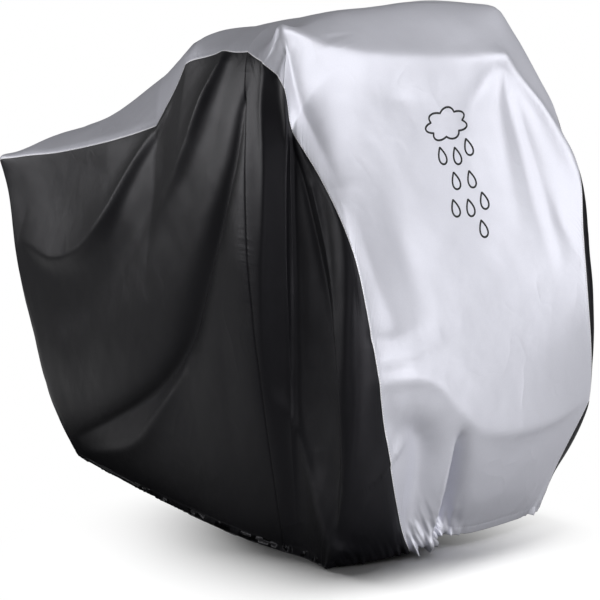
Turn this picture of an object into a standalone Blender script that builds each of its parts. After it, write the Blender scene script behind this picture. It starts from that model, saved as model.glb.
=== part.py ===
"""Fitted cover for two or three bicycles, as it hangs over them: one hollow drape, open at the bottom.

One long silver strip runs up the rear end, over the top and down the whole front. On each side two black
panels hang from it, sewn together at an upright seam, and an elastic hem draws the bottom in. +X is the
front (handlebar) end, +Z is up, and the left side is -Y. Lengths are metres.

The whole drape is one function of two numbers: `along` runs over the top line from the rear hem (0) to the
front hem (1), and `across` runs along a rib from the left hem (-1) over the top (0) to the right hem (1).
"""
import bpy
import numpy as np

for old in list(bpy.data.objects):
    bpy.data.objects.remove(old, do_unlink=True)

CLOTH = 0.002             # thickness of the coated cloth
SEWN_GAP = 0.0003         # clearance between two sewn edges
SEAM = 0.36               # where a rib crosses the strip's edge seam
UPRIGHT_ROW = 10          # section at which the side's two black panels are joined
SEAM_ROUNDING = 0.014     # how far a rib is rounded at the seam, as a share of its half length
BROAD_STEP = 0.025        # step over which the drape's general direction is taken

RIBS_REAR = 40            # ribs behind the upright seam, and in front of it
RIBS_FRONT = 30
CELLS_STRIP = 16          # cells across the strip, and down each side
CELLS_SIDE = 18

# the top line's sections, rear hem to front hem: x, z, squareness of the strip across the top
TOP_LINE = (
    (-0.740, 0.030, 2.0),   # rear hem
    (-0.870, 0.260, 2.0),   # rear low
    (-0.980, 0.560, 2.5),   # rear middle
    (-1.040, 0.800, 2.6),   # rear corner
    (-0.970, 0.858, 2.4),   # rear edge
    (-0.800, 0.902, 2.2),   # rack
    (-0.600, 0.965, 1.8),   # slope
    (-0.430, 1.060, 1.8),   # rise
    (-0.240, 1.136, 2.2),   # saddle
    (-0.020, 1.162, 2.6),   # middle
    (0.160, 1.178, 3.0),    # upright seam
    (0.285, 1.178, 3.0),    # handlebar
    (0.380, 1.100, 2.2),    # brow
    (0.430, 0.980, 1.8),    # front top
    (0.500, 0.820, 1.8),    # front upper
    (0.610, 0.550, 2.0),    # front middle
    (0.685, 0.270, 2.0),    # front lower
    (0.652, 0.120, 2.0),    # turn under
    (0.615, 0.022, 2.0),    # front hem
)

# the side of each section: seam x, y, z; hem x, y, z; bulge of the side; its direction in degrees from
# straight out towards the front; how low the bulge sits; how sharp a corner the seam turns there
LEFT_SIDE = (
    (-0.765, -0.130, 0.030, -0.735, -0.170, 0.015, 0.00, -60, 1.0, 0),
    (-0.880, -0.170, 0.260, -0.680, -0.200, 0.000, 0.03, -55, 1.0, 0),
    (-0.985, -0.190, 0.550, -0.620, -0.215, 0.000, 0.05, -45, 1.2, 0),
    (-1.045, -0.200, 0.792, -0.550, -0.230, 0.000, 0.07, -35, 1.3, 0.9),
    (-0.950, -0.200, 0.812, -0.460, -0.245, 0.000, 0.07, -25, 1.3, 0),
    (-0.740, -0.205, 0.835, -0.350, -0.265, 0.000, 0.07, -15, 1.3, 0),
    (-0.450, -0.235, 0.875, -0.200, -0.290, 0.000, 0.07, -5, 1.2, 0.5),
    (-0.200, -0.245, 0.920, -0.020, -0.315, 0.000, 0.07, 0, 1.0, 1.0),
    (-0.070, -0.250, 1.065, 0.130, -0.335, 0.000, 0.07, 10, 0.9, 1.0),
    (0.100, -0.268, 1.101, 0.270, -0.345, 0.000, 0.08, 20, 0.8, 0.9),
    (0.210, -0.285, 1.098, 0.405, -0.340, 0.000, 0.085, 30, 0.8, 1.0),
    (0.372, -0.310, 1.014, 0.450, -0.335, 0.000, 0.028, 28, 0.8, 1),
    (0.385, -0.305, 0.930, 0.480, -0.335, 0.000, 0.012, 30, 0.8, 0.6),
    (0.470, -0.300, 0.840, 0.500, -0.338, 0.000, 0.015, 30, 0.8, 0),
    (0.560, -0.300, 0.730, 0.520, -0.340, 0.000, 0.035, 30, 0.8, 0),
    (0.620, -0.280, 0.520, 0.545, -0.345, 0.000, 0.050, 30, 0.8, 0),
    (0.640, -0.250, 0.300, 0.560, -0.350, 0.000, 0.045, 30, 0.8, 0),
    (0.640, -0.215, 0.150, 0.562, -0.348, 0.000, 0.03, 35, 0.8, 0),
    (0.612, -0.152, 0.010, 0.560, -0.345, 0.000, 0.01, 45, 0.8, 0),
)
RIGHT_SIDE = (
    (-0.765, 0.130, 0.030, -0.735, 0.170, 0.015, 0.00, -60, 1.0, 0),
    (-0.880, 0.170, 0.260, -0.680, 0.200, 0.000, 0.03, -55, 1.0, 0),
    (-0.985, 0.190, 0.550, -0.620, 0.215, 0.000, 0.05, -45, 1.2, 0),
    (-1.030, 0.190, 0.800, -0.550, 0.230, 0.000, 0.07, -35, 1.3, 0.8),
    (-0.950, 0.210, 0.830, -0.460, 0.245, 0.000, 0.07, -25, 1.3, 0),
    (-0.740, 0.230, 0.860, -0.350, 0.265, 0.000, 0.07, -15, 1.3, 0),
    (-0.480, 0.260, 0.915, -0.200, 0.290, 0.000, 0.07, -5, 1.2, 0),
    (-0.300, 0.290, 1.005, -0.020, 0.315, 0.000, 0.07, 0, 1.0, 0),
    (-0.150, 0.330, 1.070, 0.100, 0.335, 0.000, 0.06, 0, 1.0, 0),
    (0.050, 0.375, 1.110, 0.200, 0.345, 0.000, 0.06, 5, 1.0, 0),
    (0.250, 0.415, 1.125, 0.300, 0.350, 0.000, 0.06, 10, 1.0, 0.7),
    (0.381, 0.418, 1.058, 0.370, 0.350, 0.000, 0.06, 10, 1.0, 0.5),
    (0.448, 0.440, 0.975, 0.420, 0.350, 0.000, 0.05, 15, 0.7, 0),
    (0.500, 0.416, 0.893, 0.440, 0.350, 0.000, 0.055, 18, 0.65, 0),
    (0.550, 0.414, 0.810, 0.460, 0.345, 0.000, 0.055, 22, 0.65, 0),
    (0.640, 0.370, 0.560, 0.490, 0.340, 0.005, 0.055, 35, 0.7, 0),
    (0.642, 0.388, 0.290, 0.505, 0.330, 0.010, 0.02, 40, 0.8, 0.6),
    (0.592, 0.332, 0.125, 0.520, 0.320, 0.015, 0.01, 40, 0.8, 0.3),
    (0.580, 0.285, 0.022, 0.545, 0.315, 0.012, 0.00, 45, 0.8, 0),
)

# what pushes the cloth out from inside: x, y, z of its tip; push in x, y, z; reach of the tent round it;
# how blunt its tip is
PUSHED_OUT = (
    (0.332, -0.272, 1.088, 0.004, -0.036, 0.088, 0.038, 0.002),    # left grip
    (0.430, 0.290, 1.070, 0.018, 0.000, 0.022, 0.06, 0.006),       # right grip
    (0.330, 0.340, 1.140, 0.020, 0.025, 0.070, 0.100, 0.020),      # far handlebar's grip
    (-0.050, -0.220, 1.100, 0.000, -0.010, 0.020, 0.06, 0.02),     # saddle
    (-1.035, -0.190, 0.800, -0.015, -0.015, 0.012, 0.05, 0.01),    # rear corner
)

# main folds: the way they face; their crest's stations as across, up, half width, height (a hollow is
# negative), where across and up are x and z on the sides, y and z on the ends, x and y on top; lean;
# roundness of the crest
LEFT, RIGHT, FRONT, REAR, TOP = "left", "right", "front", "rear", "top"
FOLDS = (
    (LEFT, ((-0.15, 0.95, 0.03, 0.005), (-0.27, 0.82, 0.03, 0.016), (-0.38, 0.67, 0.05, 0.026),
            (-0.50, 0.585, 0.06, 0.030), (-0.66, 0.55, 0.07, 0.026), (-0.80, 0.57, 0.07, 0.012),
            (-0.90, 0.59, 0.06, 0.0)), -0.5, 0.2),
    (LEFT, ((-0.12, 0.80, 0.05, -0.006), (-0.30, 0.58, 0.08, -0.020), (-0.52, 0.44, 0.12, -0.028),
            (-0.80, 0.36, 0.12, -0.020)), 0.0, 0.8),
    (LEFT, ((0.250, 1.01, 0.020, -0.004), (0.240, 0.86, 0.035, -0.017), (0.180, 0.69, 0.050, -0.028),
            (0.115, 0.55, 0.06, -0.034), (0.045, 0.42, 0.06, -0.038), (-0.060, 0.315, 0.06, -0.040),
            (-0.19, 0.235, 0.055, -0.034), (-0.37, 0.155, 0.045, -0.018), (-0.60, 0.07, 0.03, -0.003)),
     0.3, 0.10),
    (LEFT, ((0.03, 0.34, 0.04, 0.006), (-0.08, 0.22, 0.05, 0.020), (-0.19, 0.14, 0.045, 0.022),
            (-0.38, 0.08, 0.04, 0.014), (-0.60, 0.03, 0.03, 0.002)), 0.0, 0.2),
    (LEFT, ((0.122, 1.07, 0.035, 0.012), (0.092, 0.985, 0.050, 0.024), (0.048, 0.89, 0.060, 0.024),
            (-0.02, 0.80, 0.06, 0.014), (-0.10, 0.72, 0.06, 0.004)), -0.35, 0.2),
    (LEFT, ((0.30, 1.06, 0.03, 0.006), (0.315, 0.98, 0.04, 0.014), (0.345, 0.86, 0.045, 0.018),
            (0.365, 0.70, 0.05, 0.016), (0.375, 0.55, 0.05, 0.012), (0.380, 0.42, 0.05, 0.004)), 0.1, 0.10),
    (LEFT, ((0.350, 1.02, 0.02, -0.004), (0.385, 0.90, 0.028, -0.010), (0.412, 0.72, 0.035, -0.012),
            (0.425, 0.55, 0.04, -0.010), (0.430, 0.38, 0.04, -0.004)), 0.0, 0.4),
    (LEFT, ((0.36, 1.02, 0.03, -0.003), (0.44, 0.86, 0.05, -0.008), (0.505, 0.66, 0.06, -0.016),
            (0.54, 0.42, 0.065, -0.024), (0.57, 0.22, 0.055, -0.022), (0.59, 0.07, 0.03, -0.010)), -0.2, 0.5),
    (LEFT, ((0.42, 0.33, 0.03, 0.004), (0.48, 0.22, 0.04, 0.014), (0.55, 0.10, 0.04, 0.012),
            (0.60, 0.03, 0.03, 0.006)), -0.3, 0.3),
    (RIGHT, ((0.30, 1.03, 0.03, 0.006), (0.23, 0.84, 0.035, 0.016), (0.12, 0.64, 0.05, 0.026),
             (-0.04, 0.42, 0.06, 0.028), (-0.24, 0.22, 0.06, 0.020), (-0.46, 0.09, 0.05, 0.006)), -0.4, 0.15),
    (RIGHT, ((-0.30, 0.97, 0.03, 0.006), (-0.40, 0.82, 0.04, 0.018), (-0.53, 0.67, 0.05, 0.024),
             (-0.70, 0.59, 0.06, 0.016), (-0.84, 0.57, 0.06, 0.0)), 0.4, 0.2),
    (RIGHT, ((0.12, 1.03, 0.04, -0.006), (0.04, 0.84, 0.05, -0.016), (-0.10, 0.62, 0.06, -0.016),
             (-0.26, 0.42, 0.07, -0.006)), 0.0, 0.5),
    (RIGHT, ((0.38, 0.98, 0.04, -0.006), (0.35, 0.76, 0.05, -0.018), (0.30, 0.50, 0.06, -0.022),
             (0.24, 0.24, 0.05, -0.010)), 0.0, 0.5),
    (RIGHT, ((-0.20, 0.86, 0.06, -0.004), (-0.42, 0.50, 0.09, -0.018),
             (-0.62, 0.36, 0.09, -0.010)), 0.0, 0.8),
    (REAR, ((-0.11, 0.76, 0.04, -0.004), (-0.08, 0.56, 0.05, -0.014), (-0.04, 0.34, 0.05, -0.018),
            (-0.02, 0.10, 0.04, -0.008)), 0.0, 0.5),
    (REAR, ((0.13, 0.76, 0.04, 0.006), (0.09, 0.56, 0.05, 0.014), (0.05, 0.34, 0.045, 0.016),
            (0.04, 0.08, 0.03, 0.008)), 0.3, 0.15),
    (TOP, ((-0.66, -0.17, 0.05, 0.002), (-0.52, -0.06, 0.06, 0.008), (-0.40, 0.06, 0.06, 0.008),
           (-0.32, 0.20, 0.05, 0.002)), 0.3, 0.2),
    (TOP, ((0.03, -0.18, 0.06, -0.003), (0.06, 0.0, 0.09, -0.014), (0.06, 0.20, 0.07, -0.004)), 0.0, 0.8),
    (TOP, ((0.30, -0.12, 0.06, 0.002), (0.29, 0.08, 0.08, 0.018), (0.28, 0.22, 0.09, 0.026),
           (0.31, 0.34, 0.08, 0.014)), 0.0, 0.5),
    (FRONT, ((-0.29, 1.13, 0.03, 0.008), (-0.24, 1.112, 0.045, 0.020), (-0.18, 1.095, 0.05, 0.018),
             (-0.05, 1.080, 0.045, 0.012), (0.14, 1.072, 0.045, 0.012),
             (0.285, 1.078, 0.03, 0.010)), 0.0, 0.35),
    (FRONT, ((-0.285, 1.08, 0.02, -0.002), (-0.268, 0.95, 0.03, -0.004),
             (-0.262, 0.84, 0.03, -0.002)), 0.0, 0.4),
    (FRONT, ((-0.27, 0.80, 0.04, 0.002), (-0.26, 0.66, 0.04, 0.005), (-0.22, 0.52, 0.04, 0.005)), 0.0, 0.4),
    (FRONT, ((-0.13, 0.82, 0.05, -0.002), (-0.13, 0.68, 0.055, -0.008),
             (-0.13, 0.53, 0.045, -0.004)), 0.0, 0.8),
    (FRONT, ((-0.26, 0.400, 0.025, 0.004), (-0.18, 0.405, 0.03, 0.009), (-0.12, 0.385, 0.035, 0.007),
             (-0.075, 0.33, 0.04, 0.005), (-0.01, 0.275, 0.045, 0.008), (0.10, 0.262, 0.050, 0.013),
             (0.24, 0.27, 0.045, 0.012), (0.34, 0.29, 0.04, 0.003)), 0.3, 0.2),
    (FRONT, ((-0.23, 0.31, 0.05, -0.008), (-0.165, 0.275, 0.055, -0.036), (-0.155, 0.17, 0.055, -0.034),
             (-0.165, 0.05, 0.045, -0.014)), 0.0, 0.45),
    (FRONT, ((-0.078, 0.258, 0.008, 0.002), (-0.088, 0.20, 0.018, 0.018), (-0.103, 0.12, 0.026, 0.032),
             (-0.118, 0.03, 0.036, 0.030)), -0.15, 0.06),
    (FRONT, ((-0.062, 0.250, 0.018, -0.016), (-0.060, 0.17, 0.030, -0.052),
             (-0.058, 0.06, 0.040, -0.064)), 0.0, 0.35),
    (FRONT, ((0.27, 1.055, 0.02, -0.004), (0.22, 1.01, 0.03, -0.010), (0.17, 0.96, 0.04, -0.008),
             (0.13, 0.88, 0.04, -0.002)), 0.0, 0.4),
    (FRONT, ((0.28, 1.06, 0.02, 0.005), (0.245, 0.93, 0.035, 0.007), (0.22, 0.72, 0.05, 0.003)), 0.0, 0.2),
    (FRONT, ((0.29, 1.078, 0.025, 0.010), (0.33, 1.02, 0.03, 0.020), (0.372, 0.955, 0.035, 0.028),
             (0.398, 0.877, 0.04, 0.028), (0.410, 0.80, 0.045, 0.020),
             (0.412, 0.68, 0.05, 0.005)), 0.0, 0.18),
)
# the axis across, the axis up, the axis out and the way out of each facing
FACING = {LEFT: (0, 2, 1, -1), RIGHT: (0, 2, 1, 1), FRONT: (1, 2, 0, 1), REAR: (1, 2, 0, -1),
          TOP: (0, 1, 2, 1)}

SILVER = (0.62, 0.63, 0.66, 1.0)
BLACK = (0.018, 0.018, 0.020, 1.0)


def section_places():
    """Each section's place on `along`: its distance along the top line, as a share of the whole."""
    line = np.array(TOP_LINE)[:, :2]
    steps = np.hypot(*np.diff(line, axis=0).T)
    run = np.concatenate(([0.0], np.cumsum(steps)))
    return run / run[-1]


def eased(places, rows, at, corner=0.0):
    """Rows read at any place between them, on cubics whose slopes follow the rows on both sides; where
    corner is 1 the first three columns, a seam's place, follow the nearer side alone and turn sharply."""
    rows = np.asarray(rows, float)
    smooth = np.gradient(rows, places, axis=0)
    straight = np.diff(rows, axis=0) / np.diff(places)[:, None]
    sharp = np.outer(np.broadcast_to(corner, len(places)), np.arange(rows.shape[1]) < 3)
    i = np.clip(np.searchsorted(places, at) - 1, 0, len(places) - 2)
    length = (places[i + 1] - places[i])[:, None]
    t = (at - places[i])[:, None] / length
    start = smooth[i] + sharp[i] * (straight[i] - smooth[i])
    end = smooth[i + 1] + sharp[i + 1] * (straight[i] - smooth[i + 1])
    return ((2 * t**3 - 3 * t**2 + 1) * rows[i] + (t**3 - 2 * t**2 + t) * length * start
            + (3 * t**2 - 2 * t**3) * rows[i + 1] + (t**3 - t**2) * length * end)


def plain_ribs(along, across):
    """Ribs with a sharp seam: a crowned strip to it, then a straight side with a sine bulge to the hem."""
    top = eased(PLACES, TOP_LINE, along)[:, None, :]
    crown = np.concatenate((top[..., 0:1], 0.0 * top[..., 0:1], top[..., 1:2]), axis=2)
    ribs = np.zeros((len(along), len(across), 3))
    for way, table in ((-1, LEFT_SIDE), (1, RIGHT_SIDE)):
        here = across < 0 if way < 0 else across >= 0
        side = eased(PLACES, table, along, np.array(table)[:, 9])[:, None, :]
        seam, hem, bulge, low = side[..., 0:3], side[..., 3:6], side[..., 6:7], side[..., 8:9]
        turn = np.radians(side[..., 7:8])
        out = np.concatenate((np.sin(turn), way * np.cos(turn), 0.0 * turn), axis=2)
        reach = np.abs(across[here])[None, :, None]
        on_strip = np.clip(reach / SEAM, 0.0, 1.0)
        rounded = on_strip ** top[..., 2:3]
        down = np.clip((reach - SEAM) / (1.0 - SEAM), 0.0, 1.0)
        share = np.concatenate((rounded, on_strip + 0.0 * rounded, rounded), axis=2)
        ribs[:, here] = (crown + (seam - crown) * share + (hem - seam) * down
                         + out * bulge * np.sin(np.pi * down**low))
    return ribs


def rounded_ribs(along, across):
    """Each point is the bell-weighted mean of its rib round it, which rounds the seam and leaves the hem."""
    fine = np.linspace(-1.0, 1.0, 401)
    width = SEAM_ROUNDING * np.clip((1.0 - np.abs(across)) / 0.25, 0.02, 1.0)[:, None]
    weight = np.exp(-0.5 * ((across[:, None] - fine[None, :]) / width) ** 2)
    weight /= weight.sum(axis=1, keepdims=True)
    ribs = np.einsum("jf,afc->ajc", weight, plain_ribs(along, fine), optimize=True)
    tented = ribs.copy()
    for x, y, z, push_x, push_y, push_z, reach, blunt in PUSHED_OUT:
        away = np.linalg.norm(ribs - np.array((x, y, z)), axis=2)
        tent = np.exp((blunt - np.sqrt(away**2 + blunt**2)) / reach)
        tented += tent[..., None] * np.array((push_x, push_y, push_z))
    return tented


def unit(vectors):
    """The vectors at length one."""
    return vectors / np.linalg.norm(vectors, axis=-1, keepdims=True)


def general_direction(along, across):
    """The way the cloth faces, taken over a broad step so that folds rise from it without crossing."""
    ahead, behind = (rounded_ribs(np.clip(along + step, 0, 1), across) for step in (BROAD_STEP, -BROAD_STEP))
    right, left = (rounded_ribs(along, np.clip(across + step, -1, 1)) for step in (BROAD_STEP, -BROAD_STEP))
    return unit(np.cross(ahead - behind, right - left))


def crest_line(stations):
    """A fold's stations joined by a smooth line, four steps from each to the next."""
    places = np.arange(len(stations), dtype=float)
    return eased(places, stations, np.linspace(0.0, places[-1], 4 * (len(stations) - 1) + 1))


def fold_rise(points, direction, facing, stations, lean, roundness):
    """Height of one fold: exp(-distance to its crest / half width), rounded, steeper on one flank."""
    across_axis, up_axis, out_axis, way = FACING[facing]
    faced = np.clip((direction[..., out_axis] * way - 0.05) / 0.40, 0.0, 1.0)
    faced = faced * faced * (3.0 - 2.0 * faced)
    if out_axis == 1:
        faced = faced * (points[..., 1] * way > 0)
    flat = points[..., (across_axis, up_axis)]
    crest = crest_line(stations)
    nearest = np.full(flat.shape[:2], 1e9)
    height, width, flank = np.zeros((3,) + nearest.shape)
    for start, end in zip(crest[:-1], crest[1:]):
        run = end[:2] - start[:2]
        offset = flat - start[:2]
        t = np.clip(offset @ run / (run @ run), 0.0, 1.0)
        distance = np.linalg.norm(offset - t[..., None] * run, axis=2)
        closer = distance < nearest
        nearest = np.where(closer, distance, nearest)
        width = np.where(closer, start[2] + (end[2] - start[2]) * t, width)
        height = np.where(closer, start[3] + (end[3] - start[3]) * t, height)
        beside = (run[0] * offset[..., 1] - run[1] * offset[..., 0]) / np.sqrt(run @ run)
        flank = np.where(closer, beside, flank)
    width = width * (1.0 + lean * np.tanh(3.0 * flank / width))
    return faced * height * np.exp(1.6 * (roundness - np.sqrt((nearest / width) ** 2 + roundness**2)))


def drape(along, across):
    """The cloth's outer face: the rounded ribs, raised along their general direction by every fold."""
    points = rounded_ribs(along, across)
    direction = general_direction(along, across)
    rise = np.zeros(points.shape[:2])
    for fold in FOLDS:
        rise += fold_rise(points, direction, *fold)
    return points + direction * rise[..., None]


def parted(points, aside, forward, sewn):
    """The points with each sewn edge drawn back, square to its seam and in the cloth, by half of the gap."""
    edges = {"rear": (np.s_[0], forward, 1), "front": (np.s_[-1], forward, -1),
             "left": (np.s_[:, 0], aside, 1), "right": (np.s_[:, -1], aside, -1)}
    for edge in sewn:
        row, inward, way = edges[edge]
        points[row] += way * inward[row] * SEWN_GAP / 2
    return points


def sheet_mesh(name, outer, inner):
    """A closed sheet between two like grids of points: both faces and a rim, all in triangles facing out."""
    rows, columns = outer.shape[:2]
    index = np.arange(rows * columns).reshape(rows, columns)
    a, b, c, d = index[:-1, :-1], index[1:, :-1], index[1:, 1:], index[:-1, 1:]
    skin = np.concatenate((np.stack((a, c, d), -1).reshape(-1, 3), np.stack((a, b, c), -1).reshape(-1, 3)))
    under = rows * columns
    faces = [skin, skin[:, ::-1] + under]
    for line, turned in ((index[0], -1), (index[:, -1], -1), (index[-1], 1), (index[:, 0], 1)):
        here, ahead = line[:-1], line[1:]
        faces.append(np.stack((here, here + under, ahead), -1)[:, ::turned])
        faces.append(np.stack((ahead, here + under, ahead + under), -1)[:, ::turned])
    mesh = bpy.data.meshes.new(name)
    points = np.concatenate((outer.reshape(-1, 3), inner.reshape(-1, 3)))
    mesh.from_pydata(points.tolist(), [], np.concatenate(faces).tolist())
    mesh.validate()
    mesh.shade_smooth()
    return mesh


def cloth_material(name, colour, roughness, metallic):
    """A coated cloth's plain finish."""
    material = bpy.data.materials.new(name)
    material.use_nodes = True
    shader = material.node_tree.nodes["Principled BSDF"]
    shader.inputs["Base Color"].default_value = colour
    shader.inputs["Roughness"].default_value = roughness
    shader.inputs["Metallic"].default_value = metallic
    return material


PLACES = section_places()
upright = PLACES[UPRIGHT_ROW]
along = np.concatenate((np.linspace(0.0, upright, RIBS_REAR + 1),
                        np.linspace(upright, 1.0, RIBS_FRONT + 1)[1:]))
side_cells = np.linspace(-1.0, -SEAM, CELLS_SIDE + 1)
across = np.concatenate((side_cells, np.linspace(-SEAM, SEAM, CELLS_STRIP + 1)[1:-1], -side_cells[::-1]))

outer = drape(along, across)
padded = np.pad(outer, ((1, 1), (1, 1), (0, 0)), mode="reflect", reflect_type="odd")
ahead = unit(padded[2:, 1:-1] - padded[:-2, 1:-1])
beside = unit(padded[1:-1, 2:] - padded[1:-1, :-2])
normals = unit(np.cross(ahead, beside))
aside = np.cross(normals, ahead)
forward = np.cross(beside, normals)
middle = np.array([(outer[..., 0].min() + outer[..., 0].max()) / 2,
                   (outer[..., 1].min() + outer[..., 1].max()) / 2, outer[..., 2].min()])
outer = outer - middle

rear, front = np.s_[:RIBS_REAR + 1], np.s_[RIBS_REAR:]
left, strip, right = (np.s_[:CELLS_SIDE + 1], np.s_[CELLS_SIDE:CELLS_SIDE + CELLS_STRIP + 1],
                      np.s_[CELLS_SIDE + CELLS_STRIP:])
silver = cloth_material("silver_cloth", SILVER, 0.42, 0.55)
black = cloth_material("black_cloth", BLACK, 0.45, 0.0)
PANELS = (
    ("silver_centre_strip", np.s_[:], strip, silver, ("left", "right")),
    ("black_left_rear_panel", rear, left, black, ("right", "front")),
    ("black_left_front_panel", front, left, black, ("right", "rear")),
    ("black_right_rear_panel", rear, right, black, ("left", "front")),
    ("black_right_front_panel", front, right, black, ("left", "rear")),
)

cover = bpy.data.collections.new("bicycle_cover")
bpy.context.scene.collection.children.link(cover)
for name, ribs, cells, material, sewn in PANELS:
    face = parted(outer[ribs, cells].copy(), aside[ribs, cells], forward[ribs, cells], sewn)
    mesh = sheet_mesh(name, face, face - CLOTH * normals[ribs, cells])
    mesh.materials.append(material)
    cover.objects.link(bpy.data.objects.new(name, mesh))
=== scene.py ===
import bpy
import numpy as np
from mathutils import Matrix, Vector


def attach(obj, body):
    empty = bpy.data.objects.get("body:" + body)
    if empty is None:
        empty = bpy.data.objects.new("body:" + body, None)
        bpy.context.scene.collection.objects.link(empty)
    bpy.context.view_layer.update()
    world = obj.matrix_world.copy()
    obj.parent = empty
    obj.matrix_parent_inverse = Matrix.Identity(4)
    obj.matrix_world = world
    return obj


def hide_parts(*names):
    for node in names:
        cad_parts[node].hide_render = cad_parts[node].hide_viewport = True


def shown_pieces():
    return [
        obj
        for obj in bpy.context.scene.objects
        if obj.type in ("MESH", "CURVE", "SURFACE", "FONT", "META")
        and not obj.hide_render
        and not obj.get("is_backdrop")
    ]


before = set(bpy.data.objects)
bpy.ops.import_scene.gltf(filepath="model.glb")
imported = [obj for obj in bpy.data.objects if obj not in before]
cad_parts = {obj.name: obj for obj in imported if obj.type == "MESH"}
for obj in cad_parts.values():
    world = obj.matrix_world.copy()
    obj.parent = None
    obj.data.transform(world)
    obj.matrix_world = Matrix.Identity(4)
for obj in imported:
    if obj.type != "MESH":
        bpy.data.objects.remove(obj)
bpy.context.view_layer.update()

# ---------------------------------------------------------------------------------------------------
# The silver centre strip: one long strip of silver-coated polyester, up the rear end, over the top and
# down the whole front. It is worked out as part of one drape, from which every panel is then cut: ribs
# run across the cover from hem to hem, folds rise from them, and the long edges lap over the black.
# ---------------------------------------------------------------------------------------------------
SEAM = 0.36               # where a rib crosses the strip's edge seam
UPRIGHT_ROW = 10          # section at which the side's two black panels are joined
SEAM_ROUNDING = 0.014     # how far a rib is rounded at the seam, as a share of its half length
BROAD_STEP = 0.025        # step over which the drape's general direction is taken
CLOTH = 0.001             # thickness of the coated cloth with its seams' layers
LAP = 0.0042              # how far the silver laps over the black
LAP_RISE = 0.0008         # how far the lap lifts the silver at the seam
LAP_RISE_REACH = 0.006    # and how soon that dies out
HEM = 0.019               # depth of the turned-up hem that holds the elastic

# the top line's sections, rear hem to front hem: x, z, squareness of the strip across the top
TOP_LINE = (
    (-0.740, 0.030, 2.0),   # rear hem
    (-0.870, 0.260, 2.0),   # rear low
    (-0.980, 0.560, 2.5),   # rear middle
    (-1.040, 0.800, 2.6),   # rear corner
    (-0.970, 0.858, 2.4),   # rear edge
    (-0.800, 0.902, 2.2),   # rack
    (-0.600, 0.965, 1.8),   # slope
    (-0.430, 1.060, 1.8),   # rise
    (-0.240, 1.136, 2.2),   # saddle
    (-0.020, 1.162, 2.6),   # middle
    (0.160, 1.178, 3.0),    # upright seam
    (0.285, 1.178, 3.0),    # handlebar
    (0.380, 1.100, 2.2),    # brow
    (0.430, 0.980, 1.8),    # front top
    (0.500, 0.820, 1.8),    # front upper
    (0.610, 0.550, 2.0),    # front middle
    (0.685, 0.270, 2.0),    # front lower
    (0.652, 0.120, 2.0),    # turn under
    (0.615, 0.022, 2.0),    # front hem
)

# the side of each section: seam x, y, z; hem x, y, z; bulge of the side; its direction in degrees from
# straight out towards the front; how low the bulge sits; how sharp a corner the seam turns there
LEFT_SIDE = (
    (-0.765, -0.130, 0.030, -0.735, -0.170, 0.015, 0.00, -60, 1.0, 0),
    (-0.880, -0.170, 0.260, -0.680, -0.200, 0.000, 0.03, -55, 1.0, 0),
    (-0.985, -0.190, 0.550, -0.620, -0.215, 0.000, 0.05, -45, 1.2, 0),
    (-1.045, -0.200, 0.792, -0.550, -0.230, 0.000, 0.07, -35, 1.3, 0.9),
    (-0.950, -0.200, 0.812, -0.460, -0.245, 0.000, 0.07, -25, 1.3, 0),
    (-0.740, -0.205, 0.835, -0.350, -0.265, 0.000, 0.07, -15, 1.3, 0),
    (-0.450, -0.235, 0.875, -0.200, -0.290, 0.000, 0.07, -5, 1.2, 0.5),
    (-0.200, -0.245, 0.920, -0.020, -0.315, 0.000, 0.07, 0, 1.0, 1.0),
    (-0.070, -0.250, 1.065, 0.130, -0.335, 0.000, 0.07, 10, 0.9, 1.0),
    (0.100, -0.268, 1.101, 0.270, -0.345, 0.000, 0.08, 20, 0.8, 0.9),
    (0.210, -0.285, 1.098, 0.405, -0.340, 0.000, 0.085, 30, 0.8, 1.0),
    (0.372, -0.310, 1.014, 0.450, -0.335, 0.000, 0.028, 28, 0.8, 1),
    (0.385, -0.305, 0.930, 0.480, -0.335, 0.000, 0.012, 30, 0.8, 0.6),
    (0.470, -0.300, 0.840, 0.500, -0.338, 0.000, 0.015, 30, 0.8, 0),
    (0.560, -0.300, 0.730, 0.520, -0.340, 0.000, 0.035, 30, 0.8, 0),
    (0.620, -0.280, 0.520, 0.545, -0.345, 0.000, 0.050, 30, 0.8, 0),
    (0.640, -0.250, 0.300, 0.560, -0.350, 0.000, 0.045, 30, 0.8, 0),
    (0.640, -0.215, 0.150, 0.562, -0.348, 0.000, 0.03, 35, 0.8, 0),
    (0.612, -0.152, 0.010, 0.560, -0.345, 0.000, 0.01, 45, 0.8, 0),
)
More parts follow.
